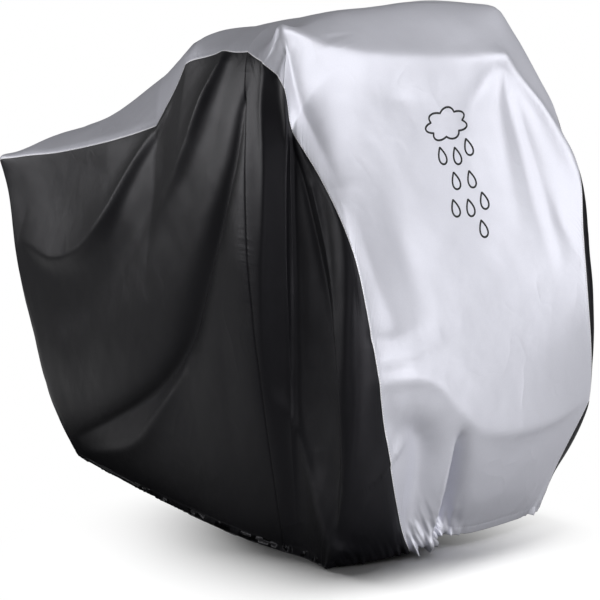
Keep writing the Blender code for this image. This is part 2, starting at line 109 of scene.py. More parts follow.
RIGHT_SIDE = (
    (-0.765, 0.130, 0.030, -0.735, 0.170, 0.015, 0.00, -60, 1.0, 0),
    (-0.880, 0.170, 0.260, -0.680, 0.200, 0.000, 0.03, -55, 1.0, 0),
    (-0.985, 0.190, 0.550, -0.620, 0.215, 0.000, 0.05, -45, 1.2, 0),
    (-1.030, 0.190, 0.800, -0.550, 0.230, 0.000, 0.07, -35, 1.3, 0.8),
    (-0.950, 0.210, 0.830, -0.460, 0.245, 0.000, 0.07, -25, 1.3, 0),
    (-0.740, 0.230, 0.860, -0.350, 0.265, 0.000, 0.07, -15, 1.3, 0),
    (-0.480, 0.260, 0.915, -0.200, 0.290, 0.000, 0.07, -5, 1.2, 0),
    (-0.300, 0.290, 1.005, -0.020, 0.315, 0.000, 0.07, 0, 1.0, 0),
    (-0.150, 0.330, 1.070, 0.100, 0.335, 0.000, 0.06, 0, 1.0, 0),
    (0.050, 0.375, 1.110, 0.200, 0.345, 0.000, 0.06, 5, 1.0, 0),
    (0.250, 0.415, 1.125, 0.300, 0.350, 0.000, 0.06, 10, 1.0, 0.7),
    (0.381, 0.418, 1.058, 0.370, 0.350, 0.000, 0.06, 10, 1.0, 0.5),
    (0.448, 0.440, 0.975, 0.420, 0.350, 0.000, 0.05, 15, 0.7, 0),
    (0.500, 0.416, 0.893, 0.440, 0.350, 0.000, 0.055, 18, 0.65, 0),
    (0.550, 0.414, 0.810, 0.460, 0.345, 0.000, 0.055, 22, 0.65, 0),
    (0.640, 0.370, 0.560, 0.490, 0.340, 0.005, 0.055, 35, 0.7, 0),
    (0.642, 0.388, 0.290, 0.505, 0.330, 0.010, 0.02, 40, 0.8, 0.6),
    (0.592, 0.332, 0.125, 0.520, 0.320, 0.015, 0.01, 40, 0.8, 0.3),
    (0.580, 0.285, 0.022, 0.545, 0.315, 0.012, 0.00, 45, 0.8, 0),
)

# what pushes the cloth out from inside: x, y, z of its tip; push in x, y, z; reach of the tent round it;
# how blunt its tip is
PUSHED_OUT = (
    (0.332, -0.272, 1.088, 0.004, -0.036, 0.088, 0.038, 0.002),    # left grip
    (0.430, 0.290, 1.070, 0.018, 0.000, 0.022, 0.06, 0.006),       # right grip
    (0.330, 0.340, 1.140, 0.020, 0.025, 0.070, 0.100, 0.020),      # far handlebar's grip
    (-0.050, -0.220, 1.100, 0.000, -0.010, 0.020, 0.06, 0.02),     # saddle
    (-1.035, -0.190, 0.800, -0.015, -0.015, 0.012, 0.05, 0.01),    # rear corner
)

# main folds: the way they face; their crest's stations as across, up, half width, height (a hollow is
# negative), where across and up are x and z on the sides, y and z on the ends, x and y on top; lean;
# roundness of the crest
LEFT, RIGHT, FRONT, REAR, TOP = "left", "right", "front", "rear", "top"
FOLDS = (
    (LEFT, ((-0.15, 0.95, 0.03, 0.005), (-0.27, 0.82, 0.03, 0.016), (-0.38, 0.67, 0.05, 0.026),
            (-0.50, 0.585, 0.06, 0.030), (-0.66, 0.55, 0.07, 0.026), (-0.80, 0.57, 0.07, 0.012),
            (-0.90, 0.59, 0.06, 0.0)), -0.5, 0.2),
    (LEFT, ((-0.12, 0.80, 0.05, -0.006), (-0.30, 0.58, 0.08, -0.020), (-0.52, 0.44, 0.12, -0.028),
            (-0.80, 0.36, 0.12, -0.020)), 0.0, 0.8),
    (LEFT, ((0.250, 1.01, 0.020, -0.004), (0.240, 0.86, 0.035, -0.017), (0.180, 0.69, 0.050, -0.028),
            (0.115, 0.55, 0.06, -0.034), (0.045, 0.42, 0.06, -0.038), (-0.060, 0.315, 0.06, -0.040),
            (-0.19, 0.235, 0.055, -0.034), (-0.37, 0.155, 0.045, -0.018), (-0.60, 0.07, 0.03, -0.003)),
     0.3, 0.10),
    (LEFT, ((0.03, 0.34, 0.04, 0.006), (-0.08, 0.22, 0.05, 0.020), (-0.19, 0.14, 0.045, 0.022),
            (-0.38, 0.08, 0.04, 0.014), (-0.60, 0.03, 0.03, 0.002)), 0.0, 0.2),
    (LEFT, ((0.122, 1.07, 0.035, 0.012), (0.092, 0.985, 0.050, 0.024), (0.048, 0.89, 0.060, 0.024),
            (-0.02, 0.80, 0.06, 0.014), (-0.10, 0.72, 0.06, 0.004)), -0.35, 0.2),
    (LEFT, ((0.30, 1.06, 0.03, 0.006), (0.315, 0.98, 0.04, 0.014), (0.345, 0.86, 0.045, 0.018),
            (0.365, 0.70, 0.05, 0.016), (0.375, 0.55, 0.05, 0.012), (0.380, 0.42, 0.05, 0.004)), 0.1, 0.10),
    (LEFT, ((0.350, 1.02, 0.02, -0.004), (0.385, 0.90, 0.028, -0.010), (0.412, 0.72, 0.035, -0.012),
            (0.425, 0.55, 0.04, -0.010), (0.430, 0.38, 0.04, -0.004)), 0.0, 0.4),
    (LEFT, ((0.36, 1.02, 0.03, -0.003), (0.44, 0.86, 0.05, -0.008), (0.505, 0.66, 0.06, -0.016),
            (0.54, 0.42, 0.065, -0.024), (0.57, 0.22, 0.055, -0.022), (0.59, 0.07, 0.03, -0.010)), -0.2, 0.5),
    (LEFT, ((0.42, 0.33, 0.03, 0.004), (0.48, 0.22, 0.04, 0.014), (0.55, 0.10, 0.04, 0.012),
            (0.60, 0.03, 0.03, 0.006)), -0.3, 0.3),
    (RIGHT, ((0.30, 1.03, 0.03, 0.006), (0.23, 0.84, 0.035, 0.016), (0.12, 0.64, 0.05, 0.026),
             (-0.04, 0.42, 0.06, 0.028), (-0.24, 0.22, 0.06, 0.020), (-0.46, 0.09, 0.05, 0.006)), -0.4, 0.15),
    (RIGHT, ((-0.30, 0.97, 0.03, 0.006), (-0.40, 0.82, 0.04, 0.018), (-0.53, 0.67, 0.05, 0.024),
             (-0.70, 0.59, 0.06, 0.016), (-0.84, 0.57, 0.06, 0.0)), 0.4, 0.2),
    (RIGHT, ((0.12, 1.03, 0.04, -0.006), (0.04, 0.84, 0.05, -0.016), (-0.10, 0.62, 0.06, -0.016),
             (-0.26, 0.42, 0.07, -0.006)), 0.0, 0.5),
    (RIGHT, ((0.38, 0.98, 0.04, -0.006), (0.35, 0.76, 0.05, -0.018), (0.30, 0.50, 0.06, -0.022),
             (0.24, 0.24, 0.05, -0.010)), 0.0, 0.5),
    (RIGHT, ((-0.20, 0.86, 0.06, -0.004), (-0.42, 0.50, 0.09, -0.018),
             (-0.62, 0.36, 0.09, -0.010)), 0.0, 0.8),
    (REAR, ((-0.11, 0.76, 0.04, -0.004), (-0.08, 0.56, 0.05, -0.014), (-0.04, 0.34, 0.05, -0.018),
            (-0.02, 0.10, 0.04, -0.008)), 0.0, 0.5),
    (REAR, ((0.13, 0.76, 0.04, 0.006), (0.09, 0.56, 0.05, 0.014), (0.05, 0.34, 0.045, 0.016),
            (0.04, 0.08, 0.03, 0.008)), 0.3, 0.15),
    (TOP, ((-0.66, -0.17, 0.05, 0.002), (-0.52, -0.06, 0.06, 0.008), (-0.40, 0.06, 0.06, 0.008),
           (-0.32, 0.20, 0.05, 0.002)), 0.3, 0.2),
    (TOP, ((0.03, -0.18, 0.06, -0.003), (0.06, 0.0, 0.09, -0.014), (0.06, 0.20, 0.07, -0.004)), 0.0, 0.8),
    (TOP, ((0.30, -0.12, 0.06, 0.002), (0.29, 0.08, 0.08, 0.018), (0.28, 0.22, 0.09, 0.026),
           (0.31, 0.34, 0.08, 0.014)), 0.0, 0.5),
    (FRONT, ((-0.29, 1.13, 0.03, 0.008), (-0.24, 1.112, 0.045, 0.020), (-0.18, 1.095, 0.05, 0.018),
             (-0.05, 1.080, 0.045, 0.012), (0.14, 1.072, 0.045, 0.012),
             (0.285, 1.078, 0.03, 0.010)), 0.0, 0.35),
    (FRONT, ((-0.285, 1.08, 0.02, -0.002), (-0.268, 0.95, 0.03, -0.004),
             (-0.262, 0.84, 0.03, -0.002)), 0.0, 0.4),
    (FRONT, ((-0.27, 0.80, 0.04, 0.002), (-0.26, 0.66, 0.04, 0.005), (-0.22, 0.52, 0.04, 0.005)), 0.0, 0.4),
    (FRONT, ((-0.13, 0.82, 0.05, -0.002), (-0.13, 0.68, 0.055, -0.008),
             (-0.13, 0.53, 0.045, -0.004)), 0.0, 0.8),
    (FRONT, ((-0.26, 0.400, 0.025, 0.004), (-0.18, 0.405, 0.03, 0.009), (-0.12, 0.385, 0.035, 0.007),
             (-0.075, 0.33, 0.04, 0.005), (-0.01, 0.275, 0.045, 0.008), (0.10, 0.262, 0.050, 0.013),
             (0.24, 0.27, 0.045, 0.012), (0.34, 0.29, 0.04, 0.003)), 0.3, 0.2),
    (FRONT, ((-0.23, 0.31, 0.05, -0.008), (-0.165, 0.275, 0.055, -0.036), (-0.155, 0.17, 0.055, -0.034),
             (-0.165, 0.05, 0.045, -0.014)), 0.0, 0.45),
    (FRONT, ((-0.078, 0.258, 0.008, 0.002), (-0.088, 0.20, 0.018, 0.018), (-0.103, 0.12, 0.026, 0.032),
             (-0.118, 0.03, 0.036, 0.030)), -0.15, 0.06),
    (FRONT, ((-0.060, 0.262, 0.016, -0.020), (-0.062, 0.17, 0.026, -0.060),
             (-0.062, 0.06, 0.034, -0.078)), 0.0, 0.3),
    (FRONT, ((0.27, 1.055, 0.02, -0.004), (0.22, 1.01, 0.03, -0.010), (0.17, 0.96, 0.04, -0.008),
             (0.13, 0.88, 0.04, -0.002)), 0.0, 0.4),
    (FRONT, ((0.28, 1.06, 0.02, 0.005), (0.245, 0.93, 0.035, 0.007), (0.22, 0.72, 0.05, 0.003)), 0.0, 0.2),
    (FRONT, ((0.29, 1.078, 0.025, 0.010), (0.33, 1.02, 0.03, 0.020), (0.372, 0.955, 0.035, 0.028),
             (0.398, 0.877, 0.04, 0.028), (0.410, 0.80, 0.045, 0.020),
             (0.412, 0.68, 0.05, 0.005)), 0.0, 0.18),
)
# the axis across, the axis up, the axis out and the way out of each facing
FACING = {LEFT: (0, 2, 1, -1), RIGHT: (0, 2, 1, 1), FRONT: (1, 2, 0, 1), REAR: (1, 2, 0, -1),
          TOP: (0, 1, 2, 1)}
# narrow creases on those folds, in the same columns, which the thin cloth alone has
CREASES = (
    (LEFT, ((0.122, 1.07, 0.010, 0.002), (0.096, 0.985, 0.012, 0.004),
            (0.062, 0.91, 0.014, 0.002)), 0.0, 0.3),
    (LEFT, ((0.385, 0.90, 0.008, -0.002), (0.426, 0.81, 0.012, -0.005), (0.467, 0.702, 0.014, -0.006),
            (0.529, 0.521, 0.016, -0.007), (0.575, 0.35, 0.016, -0.006),
            (0.59, 0.20, 0.014, -0.004)), 0.0, 0.3),
    (LEFT, ((0.450, 0.81, 0.012, 0.003), (0.494, 0.702, 0.014, 0.005), (0.558, 0.521, 0.016, 0.006),
            (0.60, 0.35, 0.016, 0.005), (0.61, 0.20, 0.012, 0.003)), 0.2, 0.15),
    (LEFT, ((0.343, 1.135, 0.004, 0.003), (0.325, 1.10, 0.008, 0.006),
            (0.300, 1.062, 0.012, 0.007)), 0.0, 0.15),
    (LEFT, ((0.350, 1.135, 0.004, 0.004), (0.360, 1.09, 0.008, 0.007), (0.369, 1.04, 0.011, 0.006),
            (0.382, 0.96, 0.014, 0.004), (0.412, 0.89, 0.014, 0.003), (0.46, 0.82, 0.012, 0.001)), 0.0, 0.2),
    (LEFT, ((0.348, 1.125, 0.005, -0.004), (0.345, 1.09, 0.012, -0.010),
            (0.338, 1.05, 0.016, -0.010)), 0.0, 0.4),
    (FRONT, ((-0.29, 1.09, 0.010, -0.003), (-0.275, 1.0, 0.015, -0.005), (-0.266, 0.92, 0.016, -0.006),
             (-0.268, 0.84, 0.015, -0.004), (-0.27, 0.77, 0.013, -0.001)), 0.0, 0.5),
    (FRONT, ((-0.28, 0.50, 0.015, -0.003), (-0.22, 0.49, 0.020, -0.005),
             (-0.15, 0.50, 0.020, -0.002)), 0.0, 0.4),
    (FRONT, ((-0.25, 0.445, 0.015, 0.002), (-0.17, 0.462, 0.016, 0.004),
             (-0.09, 0.485, 0.015, 0.002)), 0.0, 0.2),
    (FRONT, ((0.285, 1.05, 0.010, -0.002), (0.291, 0.92, 0.018, -0.004), (0.283, 0.755, 0.024, -0.004),
             (0.284, 0.64, 0.030, -0.002)), 0.0, 0.4),
    (FRONT, ((0.300, 1.05, 0.010, 0.002), (0.312, 0.92, 0.018, 0.004), (0.31, 0.755, 0.024, 0.004),
             (0.31, 0.62, 0.030, 0.002)), 0.0, 0.2),
    (FRONT, ((0.34, 0.76, 0.02, -0.002), (0.345, 0.70, 0.02, -0.005), (0.355, 0.64, 0.02, -0.002)), 0.0, 0.4),
    (FRONT, ((-0.08, 1.00, 0.03, -0.002), (-0.03, 0.995, 0.03, -0.005),
             (0.02, 0.99, 0.03, -0.002)), 0.0, 0.6),
)


def section_places():
    """Each section's place on `along`: its distance along the top line, as a share of the whole."""
    line = np.array(TOP_LINE)[:, :2]
    steps = np.hypot(*np.diff(line, axis=0).T)
    run = np.concatenate(([0.0], np.cumsum(steps)))
    return run / run[-1]


def eased(places, rows, at, corner=0.0):
    """Rows read at any place between them, on cubics whose slopes follow the rows on both sides; where
    corner is 1 the first three columns, a seam's place, follow the nearer side alone and turn sharply."""
    rows = np.asarray(rows, float)
    smooth = np.gradient(rows, places, axis=0)
    straight = np.diff(rows, axis=0) / np.diff(places)[:, None]
    sharp = np.outer(np.broadcast_to(corner, len(places)), np.arange(rows.shape[1]) < 3)
    i = np.clip(np.searchsorted(places, at) - 1, 0, len(places) - 2)
    length = (places[i + 1] - places[i])[:, None]
    t = (at - places[i])[:, None] / length
    start = smooth[i] + sharp[i] * (straight[i] - smooth[i])
    end = smooth[i + 1] + sharp[i + 1] * (straight[i] - smooth[i + 1])
    return ((2 * t**3 - 3 * t**2 + 1) * rows[i] + (t**3 - 2 * t**2 + t) * length * start
            + (3 * t**2 - 2 * t**3) * rows[i + 1] + (t**3 - t**2) * length * end)


def plain_ribs(along, across):
    """Ribs with a sharp seam: a crowned strip to it, then a straight side with a sine bulge to the hem."""
    top = eased(PLACES, TOP_LINE, along)[:, None, :]
    crown = np.concatenate((top[..., 0:1], 0.0 * top[..., 0:1], top[..., 1:2]), axis=2)
    ribs = np.zeros((len(along), len(across), 3))
    for way, table in ((-1, LEFT_SIDE), (1, RIGHT_SIDE)):
        here = across < 0 if way < 0 else across >= 0
        side = eased(PLACES, table, along, np.array(table)[:, 9])[:, None, :]
        seam, hem, bulge, low = side[..., 0:3], side[..., 3:6], side[..., 6:7], side[..., 8:9]
        turn = np.radians(side[..., 7:8])
        out = np.concatenate((np.sin(turn), way * np.cos(turn), 0.0 * turn), axis=2)
        reach = np.abs(across[here])[None, :, None]
        on_strip = np.clip(reach / SEAM, 0.0, 1.0)
        rounded = on_strip ** top[..., 2:3]
        down = np.clip((reach - SEAM) / (1.0 - SEAM), 0.0, 1.0)
        share = np.concatenate((rounded, on_strip + 0.0 * rounded, rounded), axis=2)
        ribs[:, here] = (crown + (seam - crown) * share + (hem - seam) * down
                         + out * bulge * np.sin(np.pi * down**low))
    return ribs


def rounded_ribs(along, across):
    """Each point is the bell-weighted mean of its rib round it, which rounds the seam and leaves the hem."""
    fine = np.linspace(-1.0, 1.0, 401)
    width = SEAM_ROUNDING * np.clip((1.0 - np.abs(across)) / 0.25, 0.02, 1.0)[:, None]
    weight = np.exp(-0.5 * ((across[:, None] - fine[None, :]) / width) ** 2)
    weight /= weight.sum(axis=1, keepdims=True)
    ribs = np.einsum("jf,afc->ajc", weight, plain_ribs(along, fine), optimize=True)
    tented = ribs.copy()
    for x, y, z, push_x, push_y, push_z, reach, blunt in PUSHED_OUT:
        away = np.linalg.norm(ribs - np.array((x, y, z)), axis=2)
        tent = np.exp((blunt - np.sqrt(away**2 + blunt**2)) / reach)
        tented += tent[..., None] * np.array((push_x, push_y, push_z))
    return tented


def unit(vectors):
    """The vectors at length one."""
    return vectors / np.linalg.norm(vectors, axis=-1, keepdims=True)


def general_direction(along, across):
    """The way the cloth faces, taken over a broad step so that folds rise from it without crossing."""
    ahead, behind = (rounded_ribs(np.clip(along + step, 0, 1), across) for step in (BROAD_STEP, -BROAD_STEP))
    right, left = (rounded_ribs(along, np.clip(across + step, -1, 1)) for step in (BROAD_STEP, -BROAD_STEP))
    return unit(np.cross(ahead - behind, right - left))


def crest_line(stations):
    """A fold's stations joined by a smooth line, four steps from each to the next."""
    places = np.arange(len(stations), dtype=float)
    return eased(places, stations, np.linspace(0.0, places[-1], 4 * (len(stations) - 1) + 1))


def fold_rise(points, direction, facing, stations, lean, roundness):
    """Height of one fold: exp(-distance to its crest / half width), rounded, steeper on one flank."""
    across_axis, up_axis, out_axis, way = FACING[facing]
    faced = np.clip((direction[..., out_axis] * way - 0.05) / 0.40, 0.0, 1.0)
    faced = faced * faced * (3.0 - 2.0 * faced)
    if out_axis == 1:
        faced = faced * (points[..., 1] * way > 0)
    flat = points[..., (across_axis, up_axis)]
    crest = crest_line(stations)
    nearest = np.full(flat.shape[:2], 1e9)
    height, width, flank = np.zeros((3,) + nearest.shape)
    for start, end in zip(crest[:-1], crest[1:]):
        run = end[:2] - start[:2]
        offset = flat - start[:2]
        t = np.clip(offset @ run / (run @ run), 0.0, 1.0)
        distance = np.linalg.norm(offset - t[..., None] * run, axis=2)
        closer = distance < nearest
        nearest = np.where(closer, distance, nearest)
        width = np.where(closer, start[2] + (end[2] - start[2]) * t, width)
        height = np.where(closer, start[3] + (end[3] - start[3]) * t, height)
        beside = (run[0] * offset[..., 1] - run[1] * offset[..., 0]) / np.sqrt(run @ run)
        flank = np.where(closer, beside, flank)
    width = width * (1.0 + lean * np.tanh(3.0 * flank / width))
    return faced * height * np.exp(1.6 * (roundness - np.sqrt((nearest / width) ** 2 + roundness**2)))


def drape(along, across, folds):
    """The cloth's outer face: the rounded ribs, raised along their general direction by every fold."""
    points = rounded_ribs(along, across)
    direction = general_direction(along, across)
    rise = np.zeros(points.shape[:2])
    for fold in folds:
        rise += fold_rise(points, direction, *fold)
    return points + direction * rise[..., None]


def spaced(start, end, cells, near_start=(), near_end=()):
    """Places from start to end: the given steps beside a sewn end, and even steps between them."""
    first = start + np.concatenate(([0.0], near_start))
    last = end - np.concatenate(([0.0], near_end))[::-1]
    between = np.linspace(first[-1], last[0], cells + 3 - len(first) - len(last))
    return np.concatenate((first[:-1], between, last[1:]))


def run_along(points, axis):
    """Distance walked over the cloth along one way of the grid, from its first point."""
    steps = np.linalg.norm(np.diff(points, axis=axis), axis=2)
    first = np.zeros_like(np.take(steps, [0], axis=axis))
    return np.concatenate((first, np.cumsum(steps, axis=axis)), axis=axis)


def facing_of(points):
    """The way out of the cloth at each point: ahead crossed with beside, from the points around it."""
    padded = np.pad(points, ((1, 1), (1, 1), (0, 0)), mode="reflect", reflect_type="odd")
    return unit(np.cross(padded[2:, 1:-1] - padded[:-2, 1:-1], padded[1:-1, 2:] - padded[1:-1, :-2]))


def waves(places, length, count, seed):
    """Soft unevenness of rms one: the sum of sine waves of about one length in random directions, each
    bent by a slower wave that runs square to it."""
    rng = np.random.default_rng(seed)
    total = np.zeros(places.shape[:-1])
    for start, bend in rng.uniform(0.0, 2 * np.pi, (count, 2)):
        size = length * rng.uniform(0.75, 1.35)
        ahead, beside = np.linalg.qr(rng.normal(size=(places.shape[-1], 2)))[0].T
        bent = places @ ahead + 0.3 * size * np.sin(2 * np.pi * (places @ beside) / (2.7 * size) + bend)
        total += np.sin(2 * np.pi * bent / size + start)
    return total / np.sqrt(count / 2)


# rows between one section and the next, cells down each side, and cells over three stretches of the strip
ROWS_BETWEEN = (24, 20, 16, 12, 16, 18, 18, 20, 22, 20, 26, 28, 22, 20, 28, 22, 18, 36)
CELLS_SIDE = 160
STRIP_STRETCHES = ((-SEAM, -0.26, 26), (-0.26, -0.04, 48), (-0.04, SEAM, 48))
CELLS_STRIP = sum(cells for _, _, cells in STRIP_STRETCHES)
BESIDE_SEAM = np.array((0.0015, 0.003, 0.005, 0.008, 0.012))
BESIDE_HEM = np.array((0.0015, 0.004, 0.008, 0.012, 0.016, 0.0185, 0.020, 0.0215, 0.024))
PER_METRE_ALONG = 0.286   # how much of `along`, and of `across` down the side, one metre of cloth takes
PER_METRE_ACROSS = 0.58

PLACES = section_places()
near = [()] * (len(PLACES) + 1)
near[0] = near[-1] = BESIDE_HEM * PER_METRE_ALONG
near[UPRIGHT_ROW] = BESIDE_SEAM * PER_METRE_ALONG
rows = [spaced(PLACES[k], PLACES[k + 1], cells, near[k] if k in (0, UPRIGHT_ROW) else (),
               near[k + 1] if k + 1 == UPRIGHT_ROW else near[-1] if k + 2 == len(PLACES) else ())[:-1]
        for k, cells in enumerate(ROWS_BETWEEN)]
along = np.concatenate(rows + [[1.0]])
side = spaced(-1.0, -SEAM, CELLS_SIDE, BESIDE_HEM * PER_METRE_ACROSS, BESIDE_SEAM * PER_METRE_ACROSS)
strip = [spaced(start, end, cells, BESIDE_SEAM if start == -SEAM else (), BESIDE_SEAM if end == SEAM else ())
         for start, end, cells in STRIP_STRETCHES]
across = np.concatenate((side[:-1], strip[0][:-1], strip[1][:-1], strip[2][:-1], -side[::-1]))
UPRIGHT = sum(ROWS_BETWEEN[:UPRIGHT_ROW])
LEFT_SEAM = CELLS_SIDE
RIGHT_SEAM = CELLS_SIDE + CELLS_STRIP

# the part's frame has its origin under the middle of the drape's box, which its plainer grid settles
plain_side = np.linspace(-1.0, -SEAM, 17)
plain = drape(np.concatenate((np.linspace(0.0, PLACES[UPRIGHT_ROW], 37),
                              np.linspace(PLACES[UPRIGHT_ROW], 1.0, 25)[1:])),
              np.concatenate((plain_side, np.linspace(-SEAM, SEAM, 11)[1:-1], -plain_side[::-1])), FOLDS)
lowest, highest = plain.reshape(-1, 3).min(axis=0), plain.reshape(-1, 3).max(axis=0)
middle = np.array(((lowest[0] + highest[0]) / 2, (lowest[1] + highest[1]) / 2, lowest[2]))

cloth = drape(along, across, FOLDS + CREASES) - middle

# every point's place on the flat cloth in metres, and how far it lies from each seam and from the hem
centre = int(np.searchsorted(across, 0.0))
walked = run_along(cloth, 1)
cloth_across = walked - walked[:, centre:centre + 1]
cloth_along = run_along(cloth, 0)
from_hem = np.minimum(np.minimum(walked, walked[:, -1:] - walked),
                      np.minimum(cloth_along, cloth_along[-1] - cloth_along))
from_left = np.abs(walked - walked[:, LEFT_SEAM:LEFT_SEAM + 1])
from_right = np.abs(walked - walked[:, RIGHT_SEAM:RIGHT_SEAM + 1])
from_upright = np.abs(cloth_along - cloth_along[UPRIGHT:UPRIGHT + 1])
to_ends = np.minimum(cloth_along, cloth_along[-1] - cloth_along)
end_hem = np.where(cloth_along < cloth_along[-1] / 2, cloth_across[:1], cloth_across[-1:])
side_hem = np.where(walked < walked[:, -1:] / 2, cloth_along[:, :1], cloth_along[:, -1:])
round_hem = np.where(to_ends <= from_hem, end_hem, side_hem)

# soft unevenness, the hem's puff and stitch groove, and the gathers that its elastic draws
SLOW_RISE, SHORT_RISE = 0.0005, 0.00012          # heights of the long and the short unevenness
HEM_PUFF, FRONT_HEM_PUFF = 0.0007, 0.0002        # how far the hem swells between edge and stitches
HEM_GROOVE, FRONT_HEM_GROOVE = 0.0008, 0.0004    # how deep its stitches pull it in
GATHERS_REACH = 0.035                            # how far up from the hem the gathers die out
LONG_GATHER, SHORT_GATHER = 0.0052, 0.0022       # their heights, where drawn is 1
DRAWN_ANYWHERE, DRAWN_IN_PLACES = 0.04, 0.10     # how hard the elastic draws them along the whole hem
# where it draws the front hem harder: the place across, half its width, how hard
DRAWN_AT_FRONT = ((-0.125, 0.060, 2.8), (0.225, 0.045, 0.5))
facing = facing_of(cloth)
relief = SLOW_RISE * waves(cloth, 0.16, 9, seed=3) + SHORT_RISE * waves(cloth, 0.06, 12, seed=4)
relief *= np.clip(np.minimum(from_left, from_right) / 0.03, 0.15, 1.0)
at_front = cloth[..., 0] > 0.5
puff = np.where(at_front, FRONT_HEM_PUFF, HEM_PUFF)
groove = np.where(at_front, FRONT_HEM_GROOVE, HEM_GROOVE)
relief += np.where(from_hem < HEM, puff * np.sin(np.pi * from_hem / HEM), 0.0)
relief -= groove * np.exp(-((from_hem - HEM) / 0.002) ** 2)
drawn = DRAWN_ANYWHERE + DRAWN_IN_PLACES * np.clip(waves(cloth, 0.45, 7, seed=5), 0.0, 1.5)
for place, half_width, hard in DRAWN_AT_FRONT:
    drawn += hard * np.exp(-((cloth[..., 1] - place) / half_width) ** 2) * at_front
hem_place = np.stack((round_hem, 0.25 * from_hem), axis=-1)
relief += drawn * np.exp(-from_hem / GATHERS_REACH) * (LONG_GATHER * waves(hem_place, 0.026, 6, seed=6)
                                                       + SHORT_GATHER * waves(hem_place, 0.012, 6, seed=7))
cloth = cloth + facing * relief[..., None]
cloth[..., 2] = np.maximum(cloth[..., 2], 0.0012)
facing = facing_of(cloth)


def placed(mesh):
    """An object of the mesh's name that carries it, in the scene."""
    made = bpy.data.objects.new(mesh.name, mesh)
    bpy.context.scene.collection.objects.link(made)
    return made


def sheet_object(name, outer, out, marks, cloth_depth=CLOTH):
    """A closed sheet of cloth: the outer grid, a like grid one thickness inside it, and a rim between
    them. `marks` holds a value a point for the UV map (first two) and for each named attribute."""
    rows, columns = outer.shape[:2]
    index = np.arange(rows * columns).reshape(rows, columns)
    a, b, c, d = index[:-1, :-1], index[1:, :-1], index[1:, 1:], index[:-1, 1:]
    under = rows * columns
    skin = np.stack((a, b, c, d), -1).reshape(-1, 4)
    faces = [skin, skin[:, ::-1] + under]
    for line, turned in ((index[0], -1), (index[:, -1], -1), (index[-1], 1), (index[:, 0], 1)):
        here, ahead = line[:-1], line[1:]
        faces.append(np.stack((here, here + under, ahead + under, ahead), -1)[:, ::turned])
    faces = np.concatenate(faces)
    points = np.concatenate((outer.reshape(-1, 3), (outer - cloth_depth * out).reshape(-1, 3)))
    mesh = bpy.data.meshes.new(name)
    mesh.from_pydata(points.tolist(), [], faces.tolist())
    mesh.validate()
    mesh.shade_smooth()
    corners = np.zeros(len(mesh.loops), dtype=np.int32)
    mesh.loops.foreach_get("vertex_index", corners)
    values = {key: np.concatenate((value.ravel(), value.ravel())) for key, value in marks.items()}
    flat = mesh.uv_layers.new(name="flat_cloth")
    flat.data.foreach_set("uv", np.stack((values["across"], values["along"]), -1)[corners].ravel())
    for key in ("from_seam", "by_seam"):
        mesh.attributes.new(key, "FLOAT", "POINT").data.foreach_set("value", values[key])
    return placed(mesh)


def marks_of(rows, columns, sewn):
    """The cut's marks: flat place across and along, distance to its nearest sewn line, place along it."""
    lines = {"hem": (from_hem, round_hem), "left": (from_left, cloth_along),
             "right": (from_right, cloth_along), "upright": (from_upright, cloth_across)}
    gaps = np.stack([lines[key][0][rows, columns] for key in sewn])
    places = np.stack([lines[key][1][rows, columns] for key in sewn])
    nearest = np.argmin(gaps, axis=0)[None]
    return {"across": cloth_across[rows, columns], "along": cloth_along[rows, columns],
            "from_seam": np.take_along_axis(gaps, nearest, 0)[0],
            "by_seam": np.take_along_axis(places, nearest, 0)[0]}


def with_lap(rows_cut, columns_cut):
    """The strip lifted at its seams by rise * exp(-(distance / reach) squared), with three more lines of
    points on each side that carry on over the black."""
    points = cloth[rows_cut, columns_cut].copy()
    out = facing[rows_cut, columns_cut].copy()
    near_seam = np.minimum(from_left, from_right)[rows_cut, columns_cut]
    points += out * LAP_RISE * np.exp(-(near_seam / LAP_RISE_REACH) ** 2)[..., None]
    marks = marks_of(rows_cut, columns_cut, ("hem", "left", "right"))
    steps = np.array((LAP * 0.4, LAP * 0.75, LAP))
    for edge, beyond, first in ((0, LEFT_SEAM - 2, True), (-1, RIGHT_SEAM + 2, False)):
        seam_at = LEFT_SEAM if first else RIGHT_SEAM
        way = unit(cloth[rows_cut, beyond] - cloth[rows_cut, seam_at])
        more = points[:, edge][:, None] + way[:, None] * steps[None, :, None]
        more_out = np.repeat(out[:, edge][:, None], 3, axis=1)
        grown = {}
        for key, value in marks.items():
            change = {"across": -steps if first else steps, "along": 0 * steps,
                      "from_seam": -steps, "by_seam": 0 * steps}[key]
            extra = value[:, edge][:, None] + change[None]
            grown[key] = np.concatenate((extra[:, ::-1], value) if first else (value, extra), axis=1)
        marks = grown
        points = np.concatenate((more[:, ::-1], points) if first else (points, more), axis=1)
        out = np.concatenate((more_out[:, ::-1], out) if first else (out, more_out), axis=1)
    return points, out, marks


def wired(tree, kind, inputs, **settings):
    """A shader node of that kind, its settings made, and each named or numbered input linked or set."""
    node = tree.nodes.new(kind)
    for key, value in settings.items():
        setattr(node, key, value)
    for key, value in inputs.items():
        if isinstance(value, bpy.types.NodeSocket):
            tree.links.new(value, node.inputs[key])
        else:
            node.inputs[key].default_value = value
    return node


def sums(tree, operation, first, second):
    """The result of one sum of two numbers or sockets."""
    return wired(tree, "ShaderNodeMath", {0: first, 1: second}, operation=operation).outputs[0]


